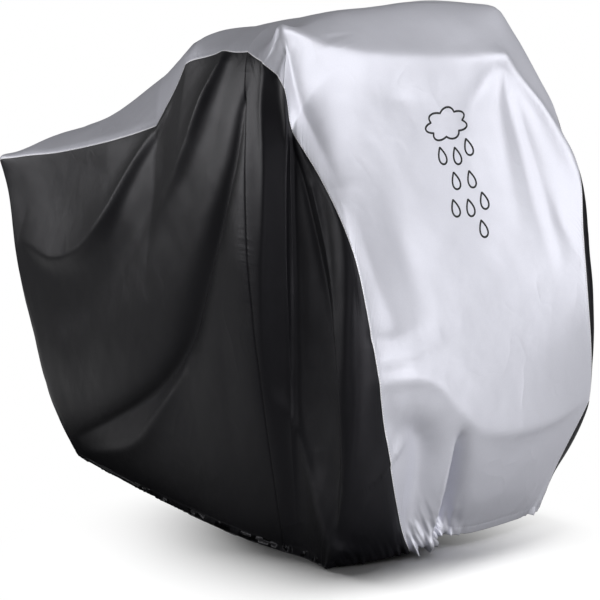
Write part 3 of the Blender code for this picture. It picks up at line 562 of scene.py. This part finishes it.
# the finish of the coated weave, shared by both cloths: threads, soft crumples, sharp handling creases,
# puckers drawn by the seams, a painted highlight on the lap's turned edge, and slow changes of tone and
# roughness
weave = bpy.data.node_groups.new("coated_weave", "ShaderNodeTree")
for socket, kind in (("Base Color", "NodeSocketColor"), ("Painted Highlight Color", "NodeSocketColor"),
                     ("Roughness", "NodeSocketFloat"), ("Crumple", "NodeSocketFloat")):
    weave.interface.new_socket(socket, in_out="INPUT", socket_type=kind)
for socket, kind in (("Base Color", "NodeSocketColor"), ("Roughness", "NodeSocketFloat"),
                     ("Height", "NodeSocketFloat")):
    weave.interface.new_socket(socket, in_out="OUTPUT", socket_type=kind)
given = weave.nodes.new("NodeGroupInput").outputs
place = wired(weave, "ShaderNodeTexCoord", {}).outputs["Object"]
flat_place = wired(weave, "ShaderNodeUVMap", {}, uv_map="flat_cloth").outputs["UV"]
THREAD_PITCH = 0.0011
threads = wired(weave, "ShaderNodeVectorMath", {0: flat_place, "Scale": 2 * np.pi / THREAD_PITCH},
                operation="SCALE")
threads = wired(weave, "ShaderNodeVectorMath", {0: threads.outputs[0]}, operation="SINE")
threads = wired(weave, "ShaderNodeSeparateXYZ", {0: threads.outputs[0]})
height = sums(weave, "MULTIPLY", sums(weave, "MULTIPLY", threads.outputs[0], threads.outputs[1]), 0.00002)
for scale, detail, depth in ((7.0, 3.0, 0.0022), (26.0, 2.0, 0.0004)):
    soft = wired(weave, "ShaderNodeTexNoise", {"Vector": place, "Scale": scale, "Detail": detail,
                                               "Roughness": 0.45}).outputs[0]
    height = sums(weave, "ADD", height, sums(weave, "MULTIPLY", sums(weave, "MULTIPLY", soft, depth),
                                             given["Crumple"]))
sharp = wired(weave, "ShaderNodeTexNoise", {"Vector": place, "Scale": 9.0, "Detail": 1.0}).outputs[0]
sharp = sums(weave, "ABSOLUTE", sums(weave, "SUBTRACT", sharp, 0.5), 0.0)
sharp = sums(weave, "EXPONENT", sums(weave, "MULTIPLY", sharp, -18.0), 0.0)
where = wired(weave, "ShaderNodeTexNoise", {"Vector": place, "Scale": 4.0, "Detail": 0.0}).outputs[0]
where = wired(weave, "ShaderNodeMapRange", {"Value": where, "From Min": 0.50, "From Max": 0.72}).outputs[0]
sharp = sums(weave, "MULTIPLY", sums(weave, "MULTIPLY", sharp, where), 0.0006)
height = sums(weave, "ADD", height, sums(weave, "MULTIPLY", sharp, given["Crumple"]))
from_seam_at = wired(weave, "ShaderNodeAttribute", {}, attribute_name="from_seam").outputs["Fac"]
by_seam_at = wired(weave, "ShaderNodeAttribute", {}, attribute_name="by_seam").outputs["Fac"]
fading = sums(weave, "MULTIPLY", sums(weave, "ABSOLUTE", from_seam_at, 0.0), -55.0)
near_it = sums(weave, "EXPONENT", fading, 0.0)
pucker = wired(weave, "ShaderNodeTexNoise", {"W": by_seam_at, "Scale": 75.0, "Detail": 1.0},
               noise_dimensions="1D").outputs[0]
height = sums(weave, "ADD", height, sums(weave, "MULTIPLY", sums(weave, "MULTIPLY", pucker, near_it), 0.0010))
tone = wired(weave, "ShaderNodeTexNoise", {"Vector": place, "Scale": 3.0, "Detail": 4.0}).outputs[0]
fleck = wired(weave, "ShaderNodeTexNoise", {"Vector": place, "Scale": 420.0, "Detail": 1.0}).outputs[0]
shade = sums(weave, "ADD", 0.90, sums(weave, "MULTIPLY", tone, 0.12))
shade = sums(weave, "ADD", shade, sums(weave, "MULTIPLY", fleck, 0.08))
# the lap's turned edge takes the paler edge colour: a painted highlight where that edge would catch the light
turned = wired(weave, "ShaderNodeMapRange", {"Value": from_seam_at, "From Min": -0.0016,
                                             "From Max": -0.0006, "To Min": 1.0, "To Max": 0.0})
colour = wired(weave, "ShaderNodeMix", {"Factor": turned.outputs[0], 6: given["Base Color"],
                                        7: given["Painted Highlight Color"]}, data_type="RGBA")
colour = wired(weave, "ShaderNodeVectorMath", {0: colour.outputs[2], "Scale": shade}, operation="SCALE")
patchy = sums(weave, "MULTIPLY", sums(weave, "SUBTRACT", tone, 0.5), 0.10)
rough = sums(weave, "ADD", given["Roughness"], patchy)
leaves = weave.nodes.new("NodeGroupOutput").inputs
weave.links.new(colour.outputs[0], leaves["Base Color"])
weave.links.new(rough, leaves["Roughness"])
weave.links.new(height, leaves["Height"])


def coated_cloth(name, colour, edge, roughness, crumple, metallic, specular):
    """A coated cloth's material: its own shader, with the weave's colour, roughness and height."""
    material = bpy.data.materials.new(name)
    material.use_nodes = True
    tree = material.node_tree
    shader = tree.nodes["Principled BSDF"]
    shared = wired(tree, "ShaderNodeGroup", {}, node_tree=weave)
    for key, value in (("Base Color", colour), ("Painted Highlight Color", edge), ("Roughness", roughness),
                       ("Crumple", crumple)):
        shared.inputs[key].default_value = value
    relief_of = wired(tree, "ShaderNodeBump", {"Height": shared.outputs["Height"], "Distance": 1.0})
    tree.links.new(shared.outputs["Base Color"], shader.inputs["Base Color"])
    tree.links.new(shared.outputs["Roughness"], shader.inputs["Roughness"])
    tree.links.new(relief_of.outputs["Normal"], shader.inputs["Normal"])
    shader.inputs["Metallic"].default_value = metallic
    shader.inputs["Specular IOR Level"].default_value = specular
    shader.inputs["Specular Tint"].default_value = (0.93, 0.91, 1.0, 1.0)
    return material


def plain_finish(name, colour, roughness, specular):
    """A material of one colour and one roughness, for thread and ink."""
    material = bpy.data.materials.new(name)
    material.use_nodes = True
    shader = material.node_tree.nodes["Principled BSDF"]
    for key, value in (("Base Color", colour), ("Roughness", roughness), ("Specular IOR Level", specular)):
        shader.inputs[key].default_value = value
    return material


def stitching(name, runs, pitch=0.006, length=0.0034, width=0.0009, height=0.0005):
    """Stitches joined in one mesh: lozenges of that length, width and height at even pitch along each
    run, a run being a line of points and the way out at each."""
    points = []
    for line, out in runs:
        steps = np.linalg.norm(np.diff(line, axis=0), axis=1)
        walk = np.concatenate(([0.0], np.cumsum(steps)))
        at = np.arange(pitch, walk[-1] - pitch, pitch)
        here, up = (np.stack([np.interp(at, walk, side[:, k]) for k in range(3)], -1) for side in (line, out))
        ahead = np.stack([np.interp(at + length / 2, walk, line[:, k]) for k in range(3)], -1) - here
        ahead, up = unit(ahead), unit(up)
        beside = np.cross(up, ahead)
        here = here + 0.00005 * up
        points.append(np.stack((here + ahead * length / 2, here + beside * width / 2,
                                here - ahead * length / 2, here - beside * width / 2,
                                here + up * height, here - up * height), axis=1).reshape(-1, 3))
    points = np.concatenate(points)
    lozenge = np.array([(k, (k + 1) % 4, 4) for k in range(4)] + [((k + 1) % 4, k, 5) for k in range(4)])
    faces = (lozenge[None] + 6 * np.arange(len(points) // 6)[:, None, None]).reshape(-1, 3)
    mesh = bpy.data.meshes.new(name)
    mesh.from_pydata(points.tolist(), [], faces.tolist())
    return placed(mesh)


def at_depth(depth, distance, *grids):
    """The line on which each row of `distance`, which grows from zero, reaches the depth, on every grid."""
    k = np.clip((distance < depth).sum(axis=1), 1, distance.shape[1] - 1)
    row = np.arange(len(k))
    t = ((depth - distance[row, k - 1]) / (distance[row, k] - distance[row, k - 1]))[:, None]
    return [grid[row, k - 1] * (1 - t) + grid[row, k] * t for grid in grids]


everything = np.s_[:]
strip_columns = np.s_[LEFT_SEAM:RIGHT_SEAM + 1]
points, out, marks = with_lap(everything, strip_columns)
silver_strip = sheet_object("silver_strip_cloth", points, facing_of(points), marks)
# the second colour is a painted highlight, laid on the silver lap's turned edge
SILVER, PAINTED_EDGE_HIGHLIGHT = (0.68, 0.685, 0.755, 1.0), (0.92, 0.92, 0.96, 1.0)
silver_finish = coated_cloth("silver_cloth_finish", SILVER, PAINTED_EDGE_HIGHLIGHT, 0.47, 1.0, 0.35, 0.5)
silver_strip.data.materials.append(silver_finish)
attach(silver_strip, "root")
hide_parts("silver_centre_strip")

# its topstitching: along both laps and across both hems
ends = cloth_along[:, LEFT_SEAM:RIGHT_SEAM + 1].T
strip, strip_out = (grid[:, LEFT_SEAM:RIGHT_SEAM + 1].transpose(1, 0, 2) for grid in (cloth, facing))
lap_out = facing_of(points)
silver_stitches = stitching("silver_topstitching", (
    (points[:, 2], lap_out[:, 2]), (points[:, -3], lap_out[:, -3]),
    at_depth(HEM, ends, strip, strip_out),
    at_depth(HEM, (ends[:, -1:] - ends)[:, ::-1], strip[:, ::-1], strip_out[:, ::-1])))
silver_stitches.data.materials.append(plain_finish("silver_thread", (0.36, 0.36, 0.39, 1.0), 0.5, 0.5))
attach(silver_stitches, "root")

# ---------------------------------------------------------------------------------------------------
# The print: a plain cloud over scattered drops, in black outline, screen-printed on the front of the
# silver strip. Each outline is a closed ribbon that is drawn flat and then laid on the cloth.
# ---------------------------------------------------------------------------------------------------
PRINT_ACROSS = 0.085      # the design's middle: metres to the right of the strip's own middle
PRINT_UP = 0.84           # and metres up the cloth from the front hem
STROKE = 0.0048           # width of the printed line
PRINT_RISE = 0.00035      # how far the ink stands out of the cloth
PRINT_SUNK = 0.0003       # and how far it reaches into it
CLOUD = (0.0, 0.112)      # place of the cloud from the design's middle, across and up
DROPS = ((-0.040, 0.044), (0.004, 0.034), (0.046, 0.047), (-0.020, -0.020), (0.027, -0.028),
         (-0.044, -0.080), (0.000, -0.090), (0.046, -0.084), (0.022, -0.146))


def printed_outlines():
    """The flat outlines: the cloud is an oval with seven scallops, r = 0.80 + 0.26 |sin(3.5 angle)|, and
    each drop is (sin(t) sin(t/2), cos(t)) with its point at the top."""
    t = np.linspace(0.0, 2 * np.pi, 140, endpoint=False)
    radius = 0.80 + 0.26 * np.abs(np.sin(3.5 * t))
    outlines = [np.stack((0.063 * radius * np.cos(t), 0.036 * radius * np.sin(t)), -1) + CLOUD]
    t = np.linspace(0.0, 2 * np.pi, 44, endpoint=False) + 0.07
    drop = np.stack((0.0150 * np.sin(t) * np.sin(t / 2), 0.0200 * np.cos(t)), -1)
    return outlines + [drop + middle_of_drop for middle_of_drop in DROPS]


def laid_on_cloth(flat):
    """Places on the cloth, and the way out there, of points given flat as (across, along): the nearest
    grid point's cell is found, then the place within the grid by its own two slopes."""
    rows = np.s_[int(len(along) * 0.60):len(along) - 40]
    columns = np.s_[LEFT_SEAM + 10:RIGHT_SEAM - 10]
    u, v = cloth_across[rows, columns], cloth_along[rows, columns]
    away = (u[None] - flat[:, 0, None, None]) ** 2 + (v[None] - flat[:, 1, None, None]) ** 2
    i, j = np.unravel_index(away.reshape(len(flat), -1).argmin(axis=1), u.shape)
    i, j = np.clip(i, 1, u.shape[0] - 2), np.clip(j, 1, u.shape[1] - 2)
    (u_i, u_j), (v_i, v_j) = np.gradient(u), np.gradient(v)
    u_i, u_j, v_i, v_j = (slope[i, j] for slope in (u_i, u_j, v_i, v_j))
    short_u, short_v = flat[:, 0] - u[i, j], flat[:, 1] - v[i, j]
    turn = u_i * v_j - u_j * v_i
    at_i = i + np.clip((short_u * v_j - short_v * u_j) / turn, -0.99, 0.99)
    at_j = j + np.clip((short_v * u_i - short_u * v_i) / turn, -0.99, 0.99)
    i, j = np.floor(at_i).astype(int), np.floor(at_j).astype(int)
    s, t = (at_i - i)[:, None], (at_j - j)[:, None]
    found = []
    for grid in (cloth[rows, columns], facing[rows, columns]):
        found.append((1 - s) * (1 - t) * grid[i, j] + s * (1 - t) * grid[i + 1, j]
                     + (1 - s) * t * grid[i, j + 1] + s * t * grid[i + 1, j + 1])
    return found


points, faces = [], []
start = 0
front_length = cloth_along[-1, centre]
for outline in printed_outlines():
    ahead = unit(np.roll(outline, -1, axis=0) - np.roll(outline, 1, axis=0))
    beside = np.stack((ahead[:, 1], -ahead[:, 0]), -1) * STROKE / 2
    edges = []
    for side in (1, -1):
        flat = outline + side * beside
        flat = np.stack((PRINT_ACROSS + flat[:, 0], front_length - PRINT_UP - flat[:, 1]), -1)
        edges.append(laid_on_cloth(flat))
    (right_edge, right_out), (left_edge, left_out) = edges
    ring = np.stack((right_edge + PRINT_RISE * right_out, left_edge + PRINT_RISE * left_out,
                     left_edge - PRINT_SUNK * left_out, right_edge - PRINT_SUNK * right_out), axis=1)
    index = start + np.arange(4 * len(outline)).reshape(-1, 4)
    onward = np.roll(index, -1, axis=0)
    for a, b in ((0, 1), (1, 2), (2, 3), (3, 0)):
        faces.append(np.stack((index[:, a], onward[:, a], onward[:, b], index[:, b]), -1))
    points.append(ring.reshape(-1, 3))
    start += 4 * len(outline)
mesh = bpy.data.meshes.new("printed_cloud_and_drops")
mesh.from_pydata(np.concatenate(points).tolist(), [], np.concatenate(faces).tolist())
printed = placed(mesh)
mesh.materials.append(plain_finish("black_ink", (0.012, 0.012, 0.014, 1.0), 0.55, 0.3))
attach(printed, "root")

# ---------------------------------------------------------------------------------------------------
# The black side panels: black polyester, two to a side, cut from the same drape. Their edges dip
# under the silver's lap, and at the upright seam both edges turn in to a narrow groove.
# ---------------------------------------------------------------------------------------------------
BLACK = (0.0055, 0.0055, 0.0070, 1.0)
black_finish = coated_cloth("black_cloth_finish", BLACK, BLACK, 0.41, 0.7, 0.0, 0.31)
black_thread = plain_finish("black_thread", (0.006, 0.006, 0.007, 1.0), 0.6, 0.15)
# how far the panels dip under the silver's lap and in to the upright seam, and over what distance
LAP_DIP, LAP_DIP_REACH = 0.0006, 0.005
SEAM_DIP, SEAM_DIP_REACH = 0.0009, 0.0025
BESIDE_UPRIGHT = 2        # grid lines from the upright seam to its stitches
rear, front = np.s_[:UPRIGHT + 1], np.s_[UPRIGHT:]
left, right = np.s_[:LEFT_SEAM + 1], np.s_[RIGHT_SEAM:]
BLACK_PANELS = (
    ("black_left_rear", rear, left, ("hem", "left", "upright"), (1.05, 1.62), 1.27),
    ("black_left_front", front, left, ("hem", "left", "upright"), (0.45, 1.15), 0.33),
    ("black_right_rear", rear, right, ("hem", "right", "upright"), (1.05, 1.62), 1.28),
    ("black_right_front", front, right, ("hem", "right", "upright"), (0.50, 1.15), 0.38),
)
for name, rows_cut, columns_cut, sewn, flat, area in BLACK_PANELS:
    points = cloth[rows_cut, columns_cut].copy()
    out = facing[rows_cut, columns_cut]
    to_silver = np.minimum(from_left, from_right)[rows_cut, columns_cut]
    to_upright = from_upright[rows_cut, columns_cut]
    dip = (LAP_DIP * np.exp(-(to_silver / LAP_DIP_REACH) ** 2)
           + SEAM_DIP * np.exp(-(to_upright / SEAM_DIP_REACH) ** 2))
    points -= out * dip[..., None]
    marks = marks_of(rows_cut, columns_cut, sewn)
    marks["across"], marks["along"] = points[..., 0], points[..., 2]
    panel = sheet_object(name + "_cloth", points, facing_of(points), marks)
    panel.data.materials.append(black_finish)
    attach(panel, "root")
    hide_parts(name + "_panel")

    # its topstitching: along the side's hem, across its end's hem and beside the upright seam
    sheet_points, sheet_out = points, facing_of(points)
    from_side = walked[rows_cut, columns_cut]
    to_end = cloth_along[rows_cut, columns_cut]
    if columns_cut is right:
        from_side = (from_side[:, -1:] - from_side)[:, ::-1]
        sheet_points, sheet_out = sheet_points[:, ::-1], sheet_out[:, ::-1]
        to_end = to_end[:, ::-1]
    if rows_cut is front:
        to_end = (to_end[-1:] - to_end)[::-1]
        sheet_points, sheet_out, from_side = sheet_points[::-1], sheet_out[::-1], from_side[::-1]
    else:
        to_end = to_end - to_end[:1]
    thread = stitching(name + "_topstitching", (
        at_depth(HEM, from_side, sheet_points, sheet_out),
        at_depth(HEM, to_end.T, sheet_points.transpose(1, 0, 2), sheet_out.transpose(1, 0, 2)),
        (sheet_points[-1 - BESIDE_UPRIGHT], sheet_out[-1 - BESIDE_UPRIGHT])))
    thread.data.materials.append(black_thread)
    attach(thread, "root")

# ---------------------------------------------------------------------------------------------------
# The stage: a wide pale floor, soft studio light and the camera.
# ---------------------------------------------------------------------------------------------------
FLOOR = 40.0              # half the floor's width
NEAR_CORNER = (0.68, -0.32, 0.0)
SHADED, WHITE = 0.15, 0.75    # the floor turns from matt to plain white between these distances from there
DIM_FLOOR = 0.24          # the grey that the floor is as light on the cover
DIM_SKY = 0.09            # and the backdrop's strength as light
floor_mesh = bpy.data.meshes.new("floor")
floor_mesh.from_pydata([(-FLOOR, -FLOOR, 0.0), (FLOOR, -FLOOR, 0.0), (FLOOR, FLOOR, 0.0),
                        (-FLOOR, FLOOR, 0.0)], [], [(0, 1, 2, 3)])
floor = placed(floor_mesh)
floor_finish = bpy.data.materials.new("pale_floor")
floor_finish.use_nodes = True
nodes, links = floor_finish.node_tree.nodes, floor_finish.node_tree.links
matt = nodes["Principled BSDF"]
matt.inputs["Base Color"].default_value = (0.95, 0.95, 0.95, 1.0)
matt.inputs["Roughness"].default_value = 1.0
matt.inputs["Specular IOR Level"].default_value = 0.0
place = nodes.new("ShaderNodeTexCoord")
away = nodes.new("ShaderNodeVectorMath")
away.operation = "DISTANCE"
away.inputs[1].default_value = NEAR_CORNER
fade = nodes.new("ShaderNodeMapRange")
fade.interpolation_type = "SMOOTHSTEP"
fade.inputs["From Min"].default_value = SHADED
fade.inputs["From Max"].default_value = WHITE
white = nodes.new("ShaderNodeEmission")
far = nodes.new("ShaderNodeMixShader")
links.new(place.outputs["Object"], away.inputs[0])
links.new(away.outputs["Value"], fade.inputs["Value"])
links.new(fade.outputs["Result"], far.inputs["Fac"])
links.new(matt.outputs["BSDF"], far.inputs[1])
links.new(white.outputs["Emission"], far.inputs[2])
seen = nodes.new("ShaderNodeLightPath")
grey = nodes.new("ShaderNodeBsdfDiffuse")
grey.inputs["Color"].default_value = (DIM_FLOOR, DIM_FLOOR, DIM_FLOOR, 1.0)
both = nodes.new("ShaderNodeMixShader")
links.new(seen.outputs["Is Camera Ray"], both.inputs["Fac"])
links.new(grey.outputs["BSDF"], both.inputs[1])
links.new(far.outputs["Shader"], both.inputs[2])
links.new(both.outputs["Shader"], nodes["Material Output"].inputs["Surface"])
floor_mesh.materials.append(floor_finish)
floor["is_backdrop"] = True

# the studio's backdrop is white to the camera and dimmer as light
sky = bpy.data.worlds.new("studio")
bpy.context.scene.world = sky
sky.use_nodes = True
nodes, links = sky.node_tree.nodes, sky.node_tree.links
nodes["Background"].inputs["Color"].default_value = (1.0, 1.0, 1.0, 1.0)
seen = nodes.new("ShaderNodeLightPath")
strength = nodes.new("ShaderNodeMapRange")
strength.inputs["To Min"].default_value = DIM_SKY
strength.inputs["To Max"].default_value = 1.0
links.new(seen.outputs["Is Camera Ray"], strength.inputs["Value"])
links.new(strength.outputs["Result"], nodes["Background"].inputs["Strength"])
bpy.context.scene.view_settings.view_transform = "Standard"

# soft boxes: place, size, watts; the overhead one lights the floor alone, for its soft shadow
lit_floor = bpy.data.collections.new("lit_floor")
lit_floor.objects.link(floor)
lit_cover = bpy.data.collections.new("lit_cover")
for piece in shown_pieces():
    if piece is not floor:
        lit_cover.objects.link(piece)
SOFT_BOXES = (
    ("left_behind", (-3.6, -2.7, 2.1), 2.0, 52, lit_cover),
    ("left_side", (-1.7, -3.9, 1.5), 2.0, 16, lit_cover),
    ("front_light", (4.0, 0.5, 2.4), 4.2, 156, lit_cover),
    ("by_camera", (2.4, -3.3, 1.5), 1.6, 9, lit_cover),
    ("overhead", (-0.3, 0.7, 4.2), 2.4, 380, lit_floor),
)
for name, place, size, watts, lit in SOFT_BOXES:
    lamp = bpy.data.lights.new(name, "AREA")
    lamp.size = size
    lamp.energy = watts
    box = bpy.data.objects.new(name, lamp)
    box.location = place
    box.rotation_euler = (Vector((0.0, 0.0, 0.5)) - Vector(place)).to_track_quat("-Z", "Y").to_euler()
    box.light_linking.receiver_collection = lit
    bpy.context.scene.collection.objects.link(box)

# the camera: turned and tipped down by these angles, and its distance, height and shift in metres
CAMERA_TURN = np.radians(50.8)
CAMERA_DOWN = np.radians(8.1)
CAMERA_AWAY = 4.17
CAMERA_HIGH = 1.08
CAMERA_ASIDE = 0.027
LENS = 102.0              # its focal length in millimetres
level_ahead = np.array((-np.sin(CAMERA_TURN), np.cos(CAMERA_TURN), 0.0))
to_right = np.array((np.cos(CAMERA_TURN), np.sin(CAMERA_TURN), 0.0))
ahead = level_ahead * np.cos(CAMERA_DOWN) - np.array((0.0, 0.0, np.sin(CAMERA_DOWN)))
lens = bpy.data.cameras.new("camera")
lens.sensor_width = 36.0
lens.lens = LENS
camera = bpy.data.objects.new("camera", lens)
camera.location = (to_right * CAMERA_ASIDE - level_ahead * CAMERA_AWAY
                   + np.array((0.0, 0.0, CAMERA_HIGH)) - middle)
camera.rotation_euler = Vector(ahead).to_track_quat("-Z", "Y").to_euler()
bpy.context.scene.collection.objects.link(camera)
bpy.context.scene.camera = camera
